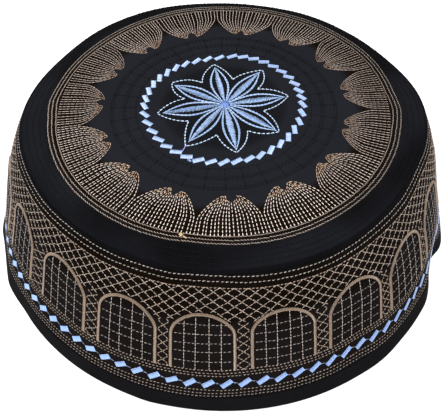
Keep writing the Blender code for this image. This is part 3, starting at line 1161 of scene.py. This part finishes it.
def sewArchGrids():
    a = arcade
    rows = []
    for arch in arches:
        rise = arch["top"] - springHeight
        for bar in a["bars"]:
            lean = 0.12 * random.standard_normal()
            across = (bar - arch["lean"] * 0.8) / arch["legApart"]
            top = springHeight + rise * (1 - across ** 2) ** (a["fullness"] / 2)
            low = np.arange(a["foot"] + 0.3, top - 1.2, a["barPitch"])
            start = np.column_stack([arch["middle"] + bar + lean * (low - 30) / 30, low])
            end = start + np.array([lean * a["barStitch"] / 30, a["barStitch"]])
            rows.append(stitches(bandPlace(start), bandPlace(end), a["barWidth"], a["barHeight"],
                                 a["barDye"], variety=0.14))
        for sill in a["sills"]:
            wide = arch["legApart"] * math.sqrt(1 - max((sill - springHeight) / rise, 0) ** 2) - 0.7
            count = round(2 * wide)
            place = (np.arange(count) + 0.5) / count * 2 * wide - wide
            height = sill + 0.12 * random.standard_normal() + 0.05 * random.standard_normal(count)
            ends = roundEnds(bandPlace, arch["middle"] + place, height + 0.025, a["sillStitch"] / 2, 0.05)
            rows.append(stitches(*ends, a["sillWidth"], a["sillHeight"], a["sillDye"], variety=0.20))
    sewPiece("archGrids", rows, quietFinish)


lattice = {
    "across": 107,  # diamonds round the cap
    "crossings": (-1, 7),  # rows of them down the side, half a diamond apart, from the first to the last
    "firstDiamond": -98.3,
    "topDiamond": 51.9,
    "tall": 3.6,
    "clear": 0.95,  # how far it stays off the arch cords
    "stopsAt": 40.4,
    "width": 0.38,
    "dye": srgb(149, 134, 122),
}


def insideArch(angle, height):
    inside = np.zeros(len(angle), bool)
    for arch in arches:
        wide = arch["legApart"] + lattice["clear"] / arcade["degreeLength"]
        up = np.maximum(height - springHeight, 0) / (arch["top"] - springHeight + lattice["clear"])
        apart = (angle - arch["middle"] - arch["lean"] * up + 180) % 360 - 180
        inside |= (apart / wide) ** 2 + up ** (2 / arcade["fullness"]) < 1
    return inside


def sewLattice():
    g = lattice
    halfAcross, halfTall = 180 / g["across"], g["tall"] / 2
    starts, ends = [], []
    for down in range(*g["crossings"]):
        column = np.arange(2 * g["across"])
        column = column[(column + down) % 2 == 1]
        for side in (-1, 1):
            angle = g["firstDiamond"] + column * halfAcross
            height = np.full(len(angle), g["topDiamond"] - down * halfTall)
            for part in (0, 1):
                near, far = part / 2 + 0.02, part / 2 + 0.47
                starts.append(np.column_stack([angle + side * halfAcross * near, height - halfTall * near]))
                ends.append(np.column_stack([angle + side * halfAcross * far, height - halfTall * far]))
    start, end = np.vstack(starts), np.vstack(ends)
    middle = (start + end) / 2
    keep = ~insideArch(middle[:, 0], middle[:, 1]) & (middle[:, 1] > g["stopsAt"])
    start, end = start[keep], end[keep]
    shake = 0.06 * random.standard_normal(start.shape)
    rows = [stitches(bandPlace(start + shake), bandPlace(end + shake), g["width"], sideThreadHeight,
                     g["dye"], variety=0.15)]
    sewPiece("latticeStitches", rows, quietFinish)


columns = {
    "top": 40.0,
    "tall": 3.6,
    "clear": 0.65,  # degrees that the threads stay off the cords
    "firstCrossing": 31.2,
    "nextCrossing": 33.6,
    "stitch": 1.25,
    "width": 0.42,
    "dye": srgb(143, 126, 112),
}


def sewColumns():
    # two threads that cross again and again between the legs of two arches
    c = columns
    rows = []
    for number, arch in enumerate(arches):
        following = arches[(number + 1) % len(arches)]
        left = arch["middle"] + arch["legApart"]
        gap = (following["middle"] - following["legApart"] - left) % 360
        crossing = c["nextCrossing"] if number % 2 else c["firstCrossing"]
        height = np.linspace(arcade["foot"], c["top"], 160)
        zigzag = np.arcsin(0.96 * np.sin(math.pi * (height - crossing) / c["tall"])) / math.asin(0.96)
        for side in (-1, 1):
            away = side * (gap / 2 - c["clear"]) * zigzag
            spots, way = evenly(np.column_stack([away * arcade["degreeLength"], height]), c["stitch"])
            ends = [besideArch(left + gap / 2, spots + way * step * c["stitch"]) for step in (-0.42, 0.42)]
            rows.append(stitches(*ends, c["width"], sideThreadHeight, c["dye"], variety=0.15))
    sewPiece("columnStitches", rows, quietFinish)


sewArchGrids()
sewLattice()
sewColumns()
sewArchCords()

blueBlocks = {
    "count": 86,
    "first": -94.4,
    "height": blocksHeight,
    "length": 4.75,
    "width": 2.1,
    "turn": 33.0,
    "degreeLength": 1.587,
    "link": ((2.5, 0.45), (1.8, -0.5)),  # where the thread to the next block starts, and how far it goes
    "dye": srgb(131, 163, 218),
    "linkWidth": 0.42,
    "linkHeight": 0.2,
    "linkDye": srgb(76, 88, 116),
}


def sewBlueBlocks():
    b = blueBlocks
    rows = []
    for block in range(b["count"]):
        angle = b["first"] + block * 360 / b["count"]
        turned = math.radians(b["turn"] + 2.5 * random.standard_normal())
        start, end = satinBlock((0.0, b["height"]), turned, b)
        for ends in (start, end):
            ends[:, 0] = angle + ends[:, 0] / b["degreeLength"]
        rows.append(satinStitches(bandPlace(start), bandPlace(end), b["dye"]))
        step, reach = (np.array([[across / b["degreeLength"], up]]) for across, up in b["link"])
        link = np.array([[angle, b["height"]]]) + step
        rows.append(stitches(bandPlace(link), bandPlace(link + reach), b["linkWidth"], b["linkHeight"],
                             b["linkDye"]))
    sewPiece("sideBlueBlocks", rows, blueFinish)


sewBlueBlocks()

# Thread ends

looseThreads = {
    # start and end of each on the flat crown, in millimetres from its middle
    "blue": {
        "ends": (((-14.0, -21.5), (-14.6, -23.2)), ((-14.6, -23.0), (-15.2, -24.6)),
                 ((-12.7, -27.6), (-12.3, -29.4)), ((-13.1, -27.8), (-12.9, -29.0)),
                 ((-12.4, -28.6), (-11.8, -29.2))),
        "width": 0.34,
        "height": 0.4,
        "dye": srgb(140, 160, 220),
        "finish": blueFinish,
    },
    "tan": {
        "ends": (((-15.0, -62.9), (-14.4, -61.6)), ((-14.7, -63.0), (-14.0, -62.0)),
                 ((-15.3, -62.5), (-14.8, -61.4)), ((-14.0, -62.9), (-12.9, -63.9))),
        "width": 0.50,
        "height": 0.4,
        "dye": srgb(186, 154, 116),
        "finish": tanFinish,
    },
}


def sewThreadEnds():
    for name, thread in looseThreads.items():
        start, end = (flatPlace(np.array(thread["ends"])[:, k]) for k in range(2))
        rows = [stitches(start, end, thread["width"], thread["height"], thread["dye"], lift=0.15)]
        sewPiece(name + "ThreadEnds", rows, thread["finish"])


sewThreadEnds()
print("embroidery done")

# Floor, light and camera

def makeFloor(settings):
    deselectAll()
    bpy.ops.mesh.primitive_plane_add(size=settings["size"], location=(0, 0, 0))
    floor = bpy.context.object
    floor.name = "studioFloor"
    material, _, shader = newMaterial("paleFloor")
    shader.inputs["Base Color"].default_value = (*settings["colour"], 1)
    shader.inputs["Roughness"].default_value = 0.9
    floor.data.materials.append(material)


makeFloor({"size": 6.0, "colour": (0.86, 0.86, 0.86)})

studio = {
    "world": 0.55,
    "columns": ("name", "place", "size", "power"),
    "rows": (
        ("leftSoftbox", (-0.66, 0.50, 0.80), 0.5, 7.0),
        ("rightSoftbox", (0.66, 0.50, 0.80), 0.5, 4.0),
        ("frontSoftbox", (-0.05, -0.50, 0.75), 0.6, 10.0),
    ),
}


def lightStudio():
    world = bpy.data.worlds.new("studioWorld")
    bpy.context.scene.world = world
    world.use_nodes = True
    backdrop = world.node_tree.nodes["Background"]
    backdrop.inputs["Color"].default_value = (1, 1, 1, 1)
    backdrop.inputs["Strength"].default_value = studio["world"]
    for lamp in tableRows(studio):
        light = bpy.data.lights.new(lamp["name"], "AREA")
        light.shape = "DISK"
        light.size = lamp["size"]
        light.energy = lamp["power"]
        holder = bpy.data.objects.new(lamp["name"], light)
        holder.location = lamp["place"]
        towardsCap = Vector((0, 0, 0.03)) - Vector(lamp["place"])
        holder.rotation_euler = towardsCap.to_track_quat("-Z", "Y").to_euler()
        bpy.context.scene.collection.objects.link(holder)


lightStudio()

view = {
    "target": (-0.97, 0.0, 2.84),  # from the cap's axis
    "distance": 331.6,
    "elevation": 49.24,
    "roll": -0.905,
    "focal": 749.8,  # in pixels of the photograph
    "imageWidth": 445,
    "sensor": 36.0,
}


def placeCamera():
    lens = bpy.data.cameras.new("photoCamera")
    lens.sensor_width = view["sensor"]
    lens.lens = view["focal"] / view["imageWidth"] * view["sensor"]
    lens.clip_start, lens.clip_end = 0.01, 20
    camera = bpy.data.objects.new("photoCamera", lens)
    bpy.context.scene.collection.objects.link(camera)
    tilt, roll = math.radians(view["elevation"]), math.radians(view["roll"])
    back = Vector((0, -math.cos(tilt), math.sin(tilt)))
    level = Vector((0, math.sin(tilt), math.cos(tilt)))
    right = Vector((1, 0, 0)) * math.cos(roll) + level * math.sin(roll)
    up = level * math.cos(roll) - Vector((1, 0, 0)) * math.sin(roll)
    place = capAxis + (Vector(view["target"]) + back * view["distance"]) * mm
    turned = Matrix((right, up, back)).transposed().to_4x4()
    camera.matrix_world = Matrix.Translation(place) @ turned
    bpy.context.scene.camera = camera


placeCamera()
bpy.context.scene.view_settings.view_transform = "Standard"
bpy.context.view_layer.update()
print("scene ready")
